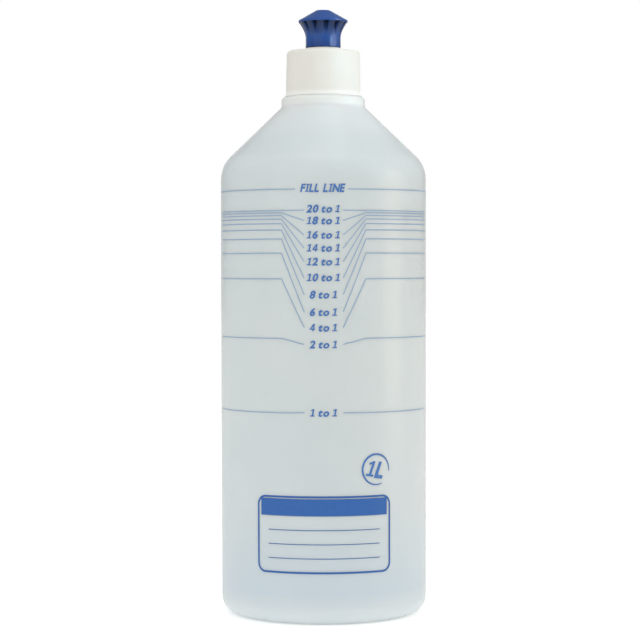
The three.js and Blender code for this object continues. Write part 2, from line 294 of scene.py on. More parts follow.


# Polypropylene, injection moulded: even colour and satin, with flow marks and the faint grain of a tool that
# has seen use, drawn coarser than it is. The skirt is painted paler at its foot, a painted light where light
# comes through its edge.
whitePolypropylene = dict(
    name="white-polypropylene",
    tint="#eeece4",
    shade="#e8e6de",
    flow=9.0,
    grain=0.5,
    grainDepth=0.006,
    roughness=(0.5, 0.58),
    ior=1.49,
    specular=0.5,
    scatterWeight=0.25,
    scatter=(1.6, 1.4, 1.1),
    # Painted light: the colour at the skirt's foot.
    foot="#fefdf8",
    footLightReach=2.4,
    paintedShade=None,
)
# Blue polyethylene, injection moulded: deep, even colour and semi-gloss, with the same marks and grain. Its
# grip has painted shade: darker in the pockets and on the faces that look down under the hat.
bluePolyethylene = dict(
    name="blue-polyethylene",
    tint="#2e579f",
    shade="#264b91",
    flow=9.0,
    grain=0.45,
    grainDepth=0.006,
    roughness=(0.16, 0.21),
    ior=1.49,
    specular=0.4,
    scatterWeight=0.0,
    scatter=(0.3, 0.5, 1.0),
    foot=None,
    # Painted shade: the pockets darken by how closed in they are, and faces that lean down darken under the
    # hat.
    paintedShade=dict(recessShade="#0e1526", reach=5.5, samples=8, underside="#152646", lean=(-0.1, -0.62)),
)


# Colour and gloss follow the flow marks, and the grain is a bump. Over that the colour takes painted light at
# the foot by height, painted shade on faces that lean down by slope, and painted shade in recesses by how
# closed in a point is.
def makeMoulded(s):
    material, tree = newMaterial(s["name"])
    place = addNode(tree, "ShaderNodeTexCoord", {}).outputs["Object"]
    flow = addNode(tree, "ShaderNodeTexNoise", {"Scale": perMetre(s["flow"]), "Detail": 3},
                   {"Vector": place})
    colour = addNode(tree, "ShaderNodeMix",
                     {"data_type": "RGBA", 6: linear(s["shade"]), 7: linear(s["tint"])},
                     {0: flow.outputs[0]})
    # Painted light: the skirt goes paler towards its foot, by height.
    if s["foot"]:
        level = addNode(tree, "ShaderNodeSeparateXYZ", {}, {0: place}).outputs["Z"]
        low = addNode(tree, "ShaderNodeMapRange",
                      {1: (skirtFoot + s["footLightReach"]) * mm, 2: skirtFoot * mm}, {0: level})
        colour = addNode(tree, "ShaderNodeMix", {"data_type": "RGBA", 7: linear(s["foot"])},
                         {0: low.outputs[0], 6: colour.outputs[2]})
    paintedShade = s["paintedShade"]
    if paintedShade:
        # Painted shade on faces that lean down, by the height of their normal.
        facing = addNode(tree, "ShaderNodeTexCoord", {}).outputs["Normal"]
        upward = addNode(tree, "ShaderNodeSeparateXYZ", {}, {0: facing}).outputs["Z"]
        under = addNode(tree, "ShaderNodeMapRange", {1: paintedShade["lean"][0], 2: paintedShade["lean"][1]}, {0: upward})
        colour = addNode(tree, "ShaderNodeMix", {"data_type": "RGBA", 7: linear(paintedShade["underside"])},
                         {0: under.outputs[0], 6: colour.outputs[2]})
        # Painted shade in pockets and recesses, by ambient occlusion.
        openness = addNode(tree, "ShaderNodeAmbientOcclusion",
                           {"samples": paintedShade["samples"], "Distance": paintedShade["reach"] * mm})
        colour = addNode(tree, "ShaderNodeMix", {"data_type": "RGBA", 6: linear(paintedShade["recessShade"])},
                         {0: openness.outputs["AO"], 7: colour.outputs[2]})
    grain = addNode(tree, "ShaderNodeTexNoise", {"Scale": perMetre(s["grain"]), "Detail": 2},
                    {"Vector": place})
    bump = addNode(tree, "ShaderNodeBump", {"Strength": 1, "Distance": s["grainDepth"] * mm},
                   {"Height": grain.outputs[0]})
    smooth, dull = s["roughness"]
    gloss = addNode(tree, "ShaderNodeMapRange", {3: smooth, 4: dull}, {0: flow.outputs[0]})
    shader = addNode(tree, "ShaderNodeBsdfPrincipled",
                     {"IOR": s["ior"], "Specular IOR Level": s["specular"],
                      "Subsurface Weight": s["scatterWeight"], "Subsurface Scale": mm,
                      "Subsurface Radius": s["scatter"]},
                     {"Base Color": colour.outputs[2], "Roughness": gloss.outputs[0],
                      "Normal": bump.outputs[0]})
    addNode(tree, "ShaderNodeOutputMaterial", {}, {"Surface": shader.outputs[0]})
    return material


# Closed-cell polyethylene foam, die cut: white and dull, with small round cells.
linerFoam = dict(tint="#f3f2ee", pit="#e2e1dc", cell=0.45, cellDepth=0.05, roughness=0.85, ior=1.4)


# Colour and bump follow the distance from the middle of each cell.
def makeFoam(s):
    material, tree = newMaterial("polyethylene-foam")
    place = addNode(tree, "ShaderNodeTexCoord", {}).outputs["Object"]
    cells = addNode(tree, "ShaderNodeTexVoronoi", {"Scale": perMetre(s["cell"])}, {"Vector": place})
    colour = addNode(tree, "ShaderNodeMix",
                     {"data_type": "RGBA", 6: linear(s["tint"]), 7: linear(s["pit"])},
                     {0: cells.outputs["Distance"]})
    bump = addNode(tree, "ShaderNodeBump",
                   {"Strength": 1, "Distance": s["cellDepth"] * mm, "invert": True},
                   {"Height": cells.outputs["Distance"]})
    shader = addNode(tree, "ShaderNodeBsdfPrincipled", {"Roughness": s["roughness"], "IOR": s["ior"]},
                     {"Base Color": colour.outputs[2], "Normal": bump.outputs[0]})
    addNode(tree, "ShaderNodeOutputMaterial", {}, {"Surface": shader.outputs[0]})
    return material


# Screen-printing ink, cured: a thin satin film whose colour is a little uneven where the mesh laid it on.
# The mesh is drawn coarser than it is, so that it shows. The film is deepest on the wide panel and palest on
# fine lines.
inkFilm = dict(mesh=1.3, roughness=(0.4, 0.55), ior=1.5)
panelInk = dict(inkFilm, name="deep-blue-screen-ink", tint="#2362b0", thin="#336bb6")
wordInk = dict(inkFilm, name="blue-screen-ink", tint="#3b74be", thin="#4c80c4")
lineInk = dict(inkFilm, name="pale-blue-screen-ink", tint="#8cafd4", thin="#9ab8d8")


# Colour and gloss follow one noise.
def makeInk(s):
    material, tree = newMaterial(s["name"])
    place = addNode(tree, "ShaderNodeTexCoord", {}).outputs["Object"]
    film = addNode(tree, "ShaderNodeTexNoise", {"Scale": perMetre(s["mesh"]), "Detail": 3},
                   {"Vector": place})
    colour = addNode(tree, "ShaderNodeMix",
                     {"data_type": "RGBA", 6: linear(s["tint"]), 7: linear(s["thin"])},
                     {0: film.outputs[0]})
    smooth, dull = s["roughness"]
    gloss = addNode(tree, "ShaderNodeMapRange", {3: smooth, 4: dull}, {0: film.outputs[0]})
    shader = addNode(tree, "ShaderNodeBsdfPrincipled", {"IOR": s["ior"]},
                     {"Base Color": colour.outputs[2], "Roughness": gloss.outputs[0]})
    addNode(tree, "ShaderNodeOutputMaterial", {}, {"Surface": shader.outputs[0]})
    return material


# Bottle

bottle = dict(
    wall=1.1,
    baseWall=1.6,
    baseCorner=7.6,
    baseRing=4.0,
    baseRingEdge=1.5,
    pushUp=3.5,
    pushUpRows=16,
    footTaper=0.15,
    footTaperTop=90.0,
    shoulderAngle=46.0,
    shoulderRounding=13.0,
    neckRing=17.65,
    neckRingHeight=3.45,
    neckRingFootEdge=1.6,
    neckRingTopEdge=0.9,
    ledge=16.16,
    ledgeChamfer=1.1,
    ledgeEdge=0.06,
    neckHeight=16.35,
    neckFootEdge=0.5,
    neckWall=1.7,
    rimEdge=0.4,
    flareRise=0.6,
    flareEdge=0.6,
    ringWall=2.0,
    insideEdge=1.0,
    floorEdge=2.0,
    skinFoot=0.5,  # the skin that waves starts above this level
    skinInset=3.0,  # and this far outside the root of the neck
    waviness=0.07,
    waves=((0.5, 2, 0.9, 0), (0.3, 3, 0, 1 / 31), (0.2, 5, 0, -1 / 47)),  # share, lobes, start, twist
    waveFoot=(10, 45),
    waveTop=(165, 186),
    partingHeight=0.06,
    partingWidth=0.35,
    partingFoot=(1, 4),
    partingColumns=(0.15, 0.3, 0.45, 0.6, 0.9, 1.3),  # degrees to each side of the line
    pinchHeight=0.5,
    pinchWidth=0.7,
    pinchReach=24.0,
    pinchFade=3.0,
    columns=160,
)


# How far the blown wall departs from round: low waves round and up the body, each share * sin(lobes * angle
# + start + twist * level), and a fine parting line on each side, which is a bell curve across.
def wallShift(angle, level):
    b = bottle
    wave = sum(share * np.sin(lobes * angle + start + twist * level)
               for share, lobes, start, twist in b["waves"])
    window = smoothStep(*b["waveFoot"], level) * (1 - smoothStep(*b["waveTop"], level))
    aside = np.abs(np.sin(angle)) * bodyRadius
    parting = np.exp(-(aside / b["partingWidth"]) ** 2) * smoothStep(*b["partingFoot"], level)
    return b["waviness"] * wave * window + b["partingHeight"] * parting


# The skin from the middle of the underside, up the outside, over the rim and down the inside. The base is
# pushed up as a parabola: rise = pushUp * (1 - share^2).
def bottleOutline():
    b = bottle
    turn = math.radians(b["shoulderAngle"])
    ledgeLevel = rimLevel - b["neckHeight"]
    ringTop = ledgeLevel - b["ledgeChamfer"]
    ringFoot = ringTop - b["neckRingHeight"]
    bodyTop = ringFoot - (bodyRadius - b["neckRing"]) / math.tan(turn)
    foot = bodyRadius - b["footTaper"]
    ringInner = foot - b["baseCorner"] - b["baseRing"]
    bore = thread["neckRoot"] - b["neckWall"]
    innerTop = bodyTop - b["wall"] * math.tan(turn / 2)
    innerRadius = bodyRadius - b["wall"]
    shares = np.linspace(0, 1, b["pushUpRows"])[:-1]
    rises = b["pushUp"] * (1 - shares ** 2)
    under = [(ringInner * share, rise, 0, 2.0) for share, rise in zip(shares, rises)]
    inside = [(ringInner * share, rise + b["baseWall"], 0, 2.0) for share, rise in zip(shares, rises)]
    between = [  # radius, level, rounding and step
        (ringInner, 0, b["baseRingEdge"], 1.0),
        (foot, 0, b["baseCorner"], 2.0),
        (bodyRadius, b["footTaperTop"], 0, 2.0),
        (bodyRadius, bodyTop, b["shoulderRounding"], 1.2),
        (b["neckRing"], ringFoot, b["neckRingFootEdge"], 0.5),
        (b["neckRing"], ringTop, b["neckRingTopEdge"], 0.4),
        (b["ledge"], ledgeLevel, b["ledgeEdge"], 0.5),
        (thread["neckRoot"], ledgeLevel, b["neckFootEdge"], 0.2),
        (thread["neckRoot"], rimLevel, b["rimEdge"], 0.4),
        (bore, rimLevel, b["rimEdge"], 0.8),
        (bore, ringTop + b["flareRise"], b["flareEdge"], 0.8),
        (b["neckRing"] - b["ringWall"], ringTop - b["flareRise"], b["insideEdge"], 0.5),
        (b["neckRing"] - b["wall"] / math.cos(turn), ringFoot, b["insideEdge"], 1.5),
        (innerRadius, innerTop, b["shoulderRounding"] - b["wall"], 2.5),
        (innerRadius, b["footTaperTop"], 0, 2.5),
        (foot - b["wall"], b["baseWall"], b["baseCorner"] - b["wall"], 2.0),
        (ringInner, b["baseWall"], b["floorEdge"], 2.0),
    ]
    return roundedOutline(under + between + inside[::-1], loop=False)


# Waves, parting lines and the thread move the outer skin. The pinched seam stands under the base along X, a
# bell curve across that fades out at its ends.
def bottleShift(angle, radius, level):
    b = bottle
    row = np.arange(len(radius))[:, None]
    rim = np.argmax(level[:, 0] >= rimLevel - tiny)
    outside = (row < rim) & (level > b["skinFoot"])
    onBody = outside & (radius > thread["neckRoot"] + b["skinInset"])
    onNeck = outside & (np.abs(radius - thread["neckRoot"]) < tiny)
    threadFoot = rimLevel - thread["belowRim"] - thread["turns"] * thread["lead"]
    moreRadius = np.where(onBody, wallShift(angle, level), 0)
    moreRadius = moreRadius + np.where(onNeck, ridgeHeight(angle, level, threadFoot), 0)
    along, aside = np.abs(radius * np.cos(angle)), np.abs(radius * np.sin(angle))
    fade = 1 - smoothStep(b["pinchReach"] - b["pinchFade"], b["pinchReach"], along)
    seam = np.exp(-(aside / b["pinchWidth"]) ** 2) * fade
    underside = (row < rim) & (level < b["pushUp"] + tiny)
    return moreRadius, np.where(underside, -b["pinchHeight"] * seam, 0)


# Columns all round, with more of them close to the parting lines on +X and -X.
def bottleAngles():
    close = np.radians(bottle["partingColumns"])
    close = np.concatenate([close, -close])
    angles = np.concatenate([evenAngles(bottle["columns"]), close, close + math.pi])
    return np.unique(np.round(np.mod(angles, fullTurn), 9))


# The bottle's outline turned about +Z.
def makeBottle(material):
    surface = turned(bottleOutline(), bottleAngles(), False, bottleShift)
    nodes = ("bottle_base", "bottle_wall", "bottle_shoulder", "bottle_neck")
    makePiece("bottleBody", [surface], material, "bottle", nodes)


# Print on the body: words and lines are drawn flat, x to the right and level up, and wrapped round the front.

scale = dict(
    fillLevel=178.5,
    ratios=(20, 18, 16, 14, 12, 10, 8, 6, 4, 2, 1),
    zeroLevel=-3.9,  # the ratios count from here: the base, less what its corner and push-up take away
    labelLevels=(170.5, 165.7, 159.9, 154.6, 149.0, 142.6, 135.6, 128.5, 122.2, 115.3, 87.5),
    lineEnds=(169.9, 165.7, 159.8, 154.5, 149.0, 142.3, 135.6, 128.5, 122.2, 115.3, 87.5),
    lineWidth=0.34,
    lineReach=78.0,
    fillReach=84.0,
    bend=17.7,
    wideGap=8.0,
    fillGaps=(-11.7, 10.0),
    digitHeight=3.0,
    wordsHeight=3.2,
    wordsPlace=(-0.3, 0.45),
    twoDigitWidth=13.6,
    oneDigitWidth=11.2,
    wordsWidth=17.9,
    wordsSpace=0.54,
    slant=0.22,
    weight=0.033,
    fontDigit=0.7,  # height of a digit in the font, for a size of 1
    curveSteps=4,
    spacing=0.1,
    space=0.3,
    film=0.05,
    crease=60.0,
)


# Wraps flat points (x, level, depth) on the wall: angle = x / body radius from the front, and radius = wall
# + depth.
def wrapped(flat):
    b = bottle
    angle = flat[:, 0] / bodyRadius - math.pi / 2
    level = flat[:, 1]
    climb = (level - b["baseCorner"]) / (b["footTaperTop"] - b["baseCorner"])
    taper = b["footTaper"] * np.clip(1 - climb, 0, 1)
    radius = bodyRadius - taper + wallShift(angle, level) + flat[:, 2]
    return np.stack([radius * np.cos(angle), radius * np.sin(angle), level], -1)


# A stroke of ink along a flat path: the path shifted half its width to each side, as a thin film.
def inkStroke(path, width):
    path = np.asarray(path, float)
    ahead = np.gradient(path, axis=0)
    ahead = ahead / np.linalg.norm(ahead, axis=1, keepdims=True)
    aside = np.stack([-ahead[:, 1], ahead[:, 0]], -1) * np.reshape(width, (-1, 1)) / 2
    film = scale["film"]
    left, right = path + aside, path - aside
    edges = [np.column_stack([edge, np.full(len(path), depth)])
             for edge, depth in ((left, -film), (right, -film), (right, film), (left, film))]
    points, faces = bar(np.stack(edges, 1))
    return wrapped(points), faces


# A straight run of points no further apart than about a millimetre.
def run(start, end):
    start, end = np.array(start, float), np.array(end, float)
    count = 2 + int(np.linalg.norm(end - start))
    return start + (end - start) * np.linspace(0, 1, count)[:, None]


# Upright characters as flat four-sided strokes on a height of 1: the one has a flag and a foot, the four is
# closed and the capital I has slabs.
figures = {
    "I": (
        ((0.2, 0.0), (0.4, 0.0), (0.4, 1.0), (0.2, 1.0)),
        ((0.04, 0.0), (0.56, 0.0), (0.56, 0.13), (0.04, 0.13)),
        ((0.04, 0.87), (0.56, 0.87), (0.56, 1.0), (0.04, 1.0)),
    ),
    "1": (
        ((0.25, 0.0), (0.44, 0.0), (0.44, 1.0), (0.25, 1.0)),
        ((0.04, 0.0), (0.64, 0.0), (0.64, 0.14), (0.04, 0.14)),
        ((0.05, 0.72), (0.26, 0.83), (0.26, 1.0), (0.0, 0.84)),
    ),
    "4": (
        ((0.37, 0.0), (0.55, 0.0), (0.55, 1.0), (0.37, 1.0)),
        ((0.0, 0.2), (0.7, 0.2), (0.7, 0.35), (0.0, 0.35)),
        ((0.0, 0.3), (0.19, 0.3), (0.5, 1.0), (0.33, 1.0)),
    ),
}
letters = {}  # characters made so far


# One upright character as (points, [face arrays]): a digit is 1 tall, its foot is at 0 and its film is -1 to
# 1 deep. Characters without strokes of their own come from the font.
def character(letter):
    if letter in figures:
        strokes = [bar(np.array([[(x, y, depth) for x, y in stroke] for depth in (1, -1)]))
                   for stroke in figures[letter]]
        points = np.vstack([stroke[0] for stroke in strokes])
        faces = [block + len(stroke[0]) * i for i, stroke in enumerate(strokes) for block in stroke[1]]
        return points, faces
    curve = bpy.data.curves.new("letter", "FONT")
    curve.body = letter
    curve.offset = scale["weight"]
    curve.extrude = 1.0
    curve.resolution_u = scale["curveSteps"]
    holder = bpy.data.objects.new("letter", curve)
    bpy.context.scene.collection.objects.link(holder)
    solid = holder.evaluated_get(bpy.context.evaluated_depsgraph_get())
    mesh = bpy.data.meshes.new_from_object(solid)
    points = np.zeros(len(mesh.vertices) * 3)
    mesh.vertices.foreach_get("co", points)
    mesh.calc_loop_triangles()
    faces = np.zeros(len(mesh.loop_triangles) * 3, int)
    mesh.loop_triangles.foreach_get("vertices", faces)
    bpy.data.objects.remove(holder)
    bpy.data.curves.remove(curve)
    bpy.data.meshes.remove(mesh)
    points = points.reshape(-1, 3) / np.array([scale["fontDigit"], scale["fontDigit"], 1])
    points, weld = np.unique(np.round(points, 5), axis=0, return_inverse=True)
    return points, [weld.reshape(-1)[faces].reshape(-1, 3)]


# Words as a thin film: characters set side by side, slanted, scaled to a width and centred on (x, level).
def inkWords(words, x, level, height, width, space, tilt=0.0):
    points, faces, pen, offset = [], [], 0.0, 0
    for letter in words:
        if letter == " ":
            pen += space
            continue
        if letter not in letters:
            letters[letter] = character(letter)
        letterPoints, letterFaces = letters[letter]
        left, right = letterPoints[:, 0].min(), letterPoints[:, 0].max()
        points.append(letterPoints + np.array([pen - left, 0, 0]))
        faces.extend(block + offset for block in letterFaces)
        offset += len(letterPoints)
        pen += right - left + scale["spacing"]
    flat = np.vstack(points) * np.array([1, height, scale["film"]]) - np.array([0, height / 2, 0])
    flat[:, 0] = (flat[:, 0] / (pen - scale["spacing"]) - 0.5) * width + scale["slant"] * flat[:, 1]
    c, s = math.cos(math.radians(tilt)), math.sin(math.radians(tilt))
    flat = flat @ np.array([[c, s, 0], [-s, c, 0], [0, 0, 1]])
    return wrapped(flat + np.array([x, level, 0])), faces


# Each ratio N to 1 has its line where the N parts end: level = zero + (fill - zero) * N / (N + 1).
def makeScale(wordMaterial, lineMaterial):
    s = scale
    aside, rise = s["wordsPlace"]
    words = [inkWords("FILL LINE", aside, s["fillLevel"] + rise, s["wordsHeight"], s["wordsWidth"],
                      s["wordsSpace"])]
    lines = []
    reach = math.radians(s["fillReach"]) * bodyRadius
    for start in s["fillGaps"]:
        end = math.copysign(reach, start)
        lines.append(inkStroke(run((start, s["fillLevel"]), (end, s["fillLevel"])), s["lineWidth"]))
    reach = math.radians(s["lineReach"]) * bodyRadius
    for ratio, labelLevel, lineEnd in zip(s["ratios"], s["labelLevels"], s["lineEnds"]):
        level = s["zeroLevel"] + (s["fillLevel"] - s["zeroLevel"]) * ratio / (ratio + 1)
        width = s["twoDigitWidth"] if ratio > 9 else s["oneDigitWidth"]
        words.append(inkWords(f"{ratio} to 1", 0, labelLevel, s["digitHeight"], width, s["space"]))
        for side in (-1, 1):
            corner = (side * s["bend"], level)
            slope = run((side * s["wideGap"], lineEnd), corner)
            path = np.vstack([slope[:-1], run(corner, (side * reach, level))])
            lines.append(inkStroke(path, s["lineWidth"]))
    makePiece("scaleWords", words, wordMaterial, "bottle", crease=s["crease"])
    makePiece("scaleLines", lines, lineMaterial, "bottle", crease=s["crease"])


# Capacity mark: "1L" in an open ring, drawn like a brush stroke that thins out.
capacity = dict(
    x=22.4,
    level=63.9,
    ring=6.25,
    start=-8.0,
    sweep=302.0,
    steps=73,
    thick=0.8,
    thin=0.3,
    swell=0.7,
    height=6.4,
    width=8.0,
    tilt=-9.0,
)


# The ring's width swells from thin to thick and back with the sine of its share, to the power of swell.
def makeMark(material):
    c = capacity
    turn = np.radians(c["start"] + np.linspace(0, c["sweep"], c["steps"]))
    ring = np.column_stack([c["x"] + c["ring"] * np.cos(turn), c["level"] + c["ring"] * np.sin(turn)])
    share = np.linspace(0, 1, c["steps"])
    ringWidth = c["thin"] + (c["thick"] - c["thin"]) * np.sin(math.pi * share) ** c["swell"]
    words = inkWords("1L", c["x"], c["level"], c["height"], c["width"], 0, c["tilt"])
    makePiece("capacityMark", [inkStroke(ring, ringWidth), words], material, "bottle", crease=scale["crease"])


# Blank panel for writing on: a frame with round corners, a band along its top and thin rules.
panel = dict(
    level=37.5,
    width=58.0,
    height=31.0,
    corner=3.5,
    frame=0.8,
    band=7.0,
    bandInset=0.6,
    rules=3,
    rule=0.3,
    margin=5.0,
)


# The frame is a stroke round a rounded outline. The band and the evenly spaced rules are level strokes.
def makePanel(material):
    p = panel
    top, foot = p["level"] + p["height"] / 2, p["level"] - p["height"] / 2
    half = p["width"] / 2
    corners = [(-half, foot, p["corner"], 1.0), (half, foot, p["corner"], 1.0),
               (half, top, p["corner"], 1.0), (-half, top, p["corner"], 1.0)]
    edge = roundedOutline(corners, loop=True)
    edge = np.vstack([edge, edge[:1]])
    strokes = [inkStroke(edge, p["frame"])]
    bandLevel = top - p["frame"] - p["band"] / 2
    inset = half - p["frame"] - p["bandInset"]
    strokes.append(inkStroke(run((-inset, bandLevel), (inset, bandLevel)), p["band"]))
    space = (p["height"] - p["band"] - p["frame"]) / (p["rules"] + 1)
    for i in range(p["rules"]):
        level = foot + space * (i + 1)
        strokes.append(inkStroke(run((p["margin"] - half, level), (half - p["margin"], level)), p["rule"]))
    makePiece("writingPanel", strokes, material, "bottle", crease=scale["crease"])


# Liner

liner = dict(hole=5.5, rounding=0.15, columns=96)


# A rectangle with rounded corners, turned about +Z.
def makeLiner(material):
    s = liner
    corners = [(s["hole"], linerFoot, s["rounding"], 0.6), (linerRadius, linerFoot, s["rounding"], 0.4),
               (linerRadius, linerTop, s["rounding"], 0.6), (s["hole"], linerTop, s["rounding"], 0.4)]
    surface = turned(roundedOutline(corners, loop=True), evenAngles(s["columns"]), True)
    makePiece("linerWasher", [surface], material, "liner", ("cap_liner",))


# Screw cap

cap = dict(
    draft=0.7,
    corner=1.5,
    bandHeight=1.4,
    bandStep=0.25,
    footEdge=0.06,
    footDrop=0.07,
    footFace=0.15,
    deck=1.6,
    post=5.8,
    postWall=1.4,
    boss=7.45,
    bead=6.25,
    beadHeight=1.4,
    postTip=0.5,
    seatGap=0.05,
    travelRoom=8.1,  # foot of the shut spout to the bead
    pin=1.7,
    pinTip=0.5,
    webs=3,
    webThickness=1.2,
    webHeight=2.2,
    webRoot=0.3,  # how far a web reaches into the pin and the post
    columns=168,
)


# Skirt, deck and post are one turned outline; the thread stands in from its bore. The pin is turned too, and
# each web is a bar from the pin to the post.
def makeCap(material):
    s = cap
    deckFoot = linerTop + s["seatGap"]
    deckTop = deckFoot + s["deck"]
    seat = spoutFoot - s["seatGap"]
    bead = seat + s["travelRoom"]
    postTop = bead + s["beadHeight"] + s["postTip"]
    topRadius = capFootRadius - s["draft"]
    bandTop = skirtFoot + s["bandHeight"]
    postBore = s["post"] - s["postWall"]
    corners = [  # radius, level, rounding and step
        (postBore, deckFoot, 0.2, 0.8),
        (capBore, deckFoot, 0.3, 0.2),
        (capBore, skirtFoot - s["footDrop"], 0.25, 0.4),
        (capFootRadius, skirtFoot - s["footDrop"], s["footEdge"], 0.4),
        (capFootRadius, skirtFoot + s["footFace"], 0.1, 0.3),
        (capFootRadius - s["bandStep"], bandTop, 0.08, 1.0),
        (topRadius, deckTop, s["corner"], 0.8),
        (s["boss"], deckTop, 0.25, 0.3),
        (s["boss"], seat, 0.15, 0.3),
        (s["post"], seat, 0.2, 0.6),
        (s["post"], bead, 0.1, 0.2),
        (s["bead"], bead, 0.1, 0.2),
        (s["bead"], bead + s["beadHeight"] / 2, 0.2, 0.2),
        (s["post"], bead + s["beadHeight"], 0.2, 0.2),
        (s["post"], postTop, 0.2, 0.4),
        (postBore, postTop, 0.2, 0.8),
    ]
    threadFoot = rimLevel - thread["belowRim"] - thread["capDrop"] - thread["turns"] * thread["lead"]

    # The thread's ridge, inwards from the bore.
    def shift(angle, radius, level):
        onBore = np.abs(radius - capBore) < tiny
        return np.where(onBore, -ridgeHeight(angle, level, threadFoot), 0), 0 * level

    angles = evenAngles(s["columns"])
    shell = turned(roundedOutline(corners, loop=True), angles, True, shift)
    webFoot = postTop - s["webHeight"]
    pinCorners = [
        (0, webFoot, 0, 0.4),
        (s["pin"], webFoot, 0.2, 0.8),
        (s["pin"], pinTop - s["pinTip"], 0.2, 0.3),
        (s["pin"] - s["pinTip"], pinTop, 0.2, 0.4),
        (0, pinTop, 0, 1),
    ]
    pin = turned(roundedOutline(pinCorners, loop=False), angles[::4], False)
    webs = []
    up = np.array([0, 0, 1.0])
    for turn in evenAngles(s["webs"]):
        along = np.array([math.cos(turn), math.sin(turn), 0])
        across = np.array([-math.sin(turn), math.cos(turn), 0]) * s["webThickness"] / 2
        section = np.stack([across + up * webFoot, -across + up * webFoot,
                            -across + up * postTop, across + up * postTop])
        reach = np.array([s["pin"] - s["webRoot"], postBore + s["webRoot"]])[:, None, None]
        webs.append(bar(section[None] + reach * along))
    makePiece("screwCap", [shell, pin, *webs], material, "cap", ("screw_cap",))


# Push-pull spout

spout = dict(
    stem=7.45,
    wall=0.9,
    lip=0.45,
    lipHeight=1.8,
    flareHeight=6.3,
    flarePower=1.65,
    rim=0.8,
    hat=4.3,
    hatWall=1.5,
    hole=2.0,
    land=0.9,
    tubeWall=1.2,
    tubeGap=0.3,
    ribs=12,
    ribWidth=2.6,
    ribStart=23.0,
    ribInset=0.15,
    ribEdge=0.25,
    flute=0.18,
    fluteFoot=(0.4, 1.2),
    pocketWall=0.9,
    columnsPerRib=30,
)


# One outline from the foot up the outside, over the hat and down the inside, turned about +Z.
def makeSpout(material):
    s = spout
    hatLevel = spoutTop - s["hat"]
    rimFoot = hatLevel - s["rim"]
    flareFoot = rimFoot - s["flareHeight"]
    bore = s["stem"] - s["wall"]
    top = s["hole"] + s["land"]
    tube = s["hole"] + s["tubeWall"]
    slope = s["hat"] / (spoutRimRadius - top)
    overhang = spoutRimRadius - s["stem"]
    tubeFoot = rimFoot + s["tubeGap"]
    ribStart = math.radians(s["ribStart"])
    corners = [  # radius, level, rounding and step
        (bore - s["lip"], spoutFoot, 0.2, 0.5),
        (s["stem"], spoutFoot, 0.3, 0.25),
        (s["stem"], rimFoot, 0, 0.2),
        (spoutRimRadius, rimFoot, 0.2, 0.3),
        (spoutRimRadius, hatLevel, 0.4, 0.5),
        (top, spoutTop, 0.5, 0.3),
        (s["hole"], spoutTop, 0.25, 0.5),
        (s["hole"], tubeFoot, 0.2, 0.4),
        (tube, tubeFoot, 0.2, 0.5),
        (tube, spoutTop - s["hatWall"] - slope * max(0, tube - top), 0.3, 0.5),
        (bore, spoutTop - s["hatWall"] - slope * (bore - top), 0.5, 0.6),
        (bore, spoutFoot + s["lipHeight"] + s["lip"], 0.3, 0.3),
        (bore - s["lip"], spoutFoot + s["lipHeight"], 0.2, 0.5),
    ]

    # The ribs sweep out as a power of the height; under the rim they close in on its edge. Between them the
    # hat is hollow, since its underside rises with its slope, and the stem has a flute, half of 1 - cos.
    def shift(angle, radius, level):
        row = np.arange(len(radius))[:, None]
        rimRow = np.argmax(radius[:, 0] >= spoutRimRadius - tiny)
        outside = (row < rimRow) & (radius >= s["stem"] - tiny)
        onStem = outside & (radius < s["stem"] + tiny)
        underHat = outside & (level > rimFoot - tiny)
        pitch = fullTurn / s["ribs"]
        aside = np.mod(angle - ribStart + pitch / 2, pitch) - pitch / 2
        aside = np.abs(aside) * s["stem"]
        rib = 1 - smoothStep(s["ribWidth"] / 2 - s["ribEdge"], s["ribWidth"] / 2 + s["ribEdge"], aside)
        climb = np.clip((level - flareFoot) / s["flareHeight"], 0, 1)
        flare = (overhang - s["ribInset"]) * climb ** s["flarePower"]
        room = np.clip(1 - (radius - s["stem"]) / overhang, 0, 1)
        valley = 0.5 - 0.5 * np.cos(s["ribs"] * (angle - ribStart))
        fluteLow, fluteHigh = s["fluteFoot"]
        flute = s["flute"] * valley * smoothStep(spoutFoot + fluteLow, spoutFoot + fluteHigh, level)
        pocket = np.maximum(0, slope * (spoutRimRadius - radius) + s["rim"] - s["pocketWall"]) * (1 - rib)
        moreRadius = np.where(outside, flare * rib * room, 0) - np.where(onStem, flute, 0)
        return moreRadius, np.where(underHat, pocket, 0)

    angles = evenAngles(s["ribs"] * s["columnsPerRib"]) + ribStart
    surface = turned(roundedOutline(corners, loop=True), angles, True, shift)
    makePiece("spoutSlide", [surface], material, "spout", ("push_pull_spout",))


# Studio: white floor, soft lamps, and the camera in front

studio = dict(
    eyeDistance=957.0,
    eyeLevel=147.2,
    eyeAside=-1.5,
    tilt=1.375,
    roll=0.1,
    lens=126.5,
    sensor=36.0,
    world=0.845,
    room=0.24,
    backdropTop=0.5,  # height of the backdrop's top edge, as the sine of its elevation
    backdropTopFade=0.3,
    backdropSide=0.88,  # its sides, as the cosine of the angle from straight behind
    backdropSideFade=0.2,
    floorTint="#f2f2f0",
    floorRoughness=0.9,
    floorReach=6000.0,
    floorGlow=0.34,
    footGlow=0.2,
    footGlowReach=(38.0, 80.0),
    fibre=3.0,
    fibreDepth=0.01,
)
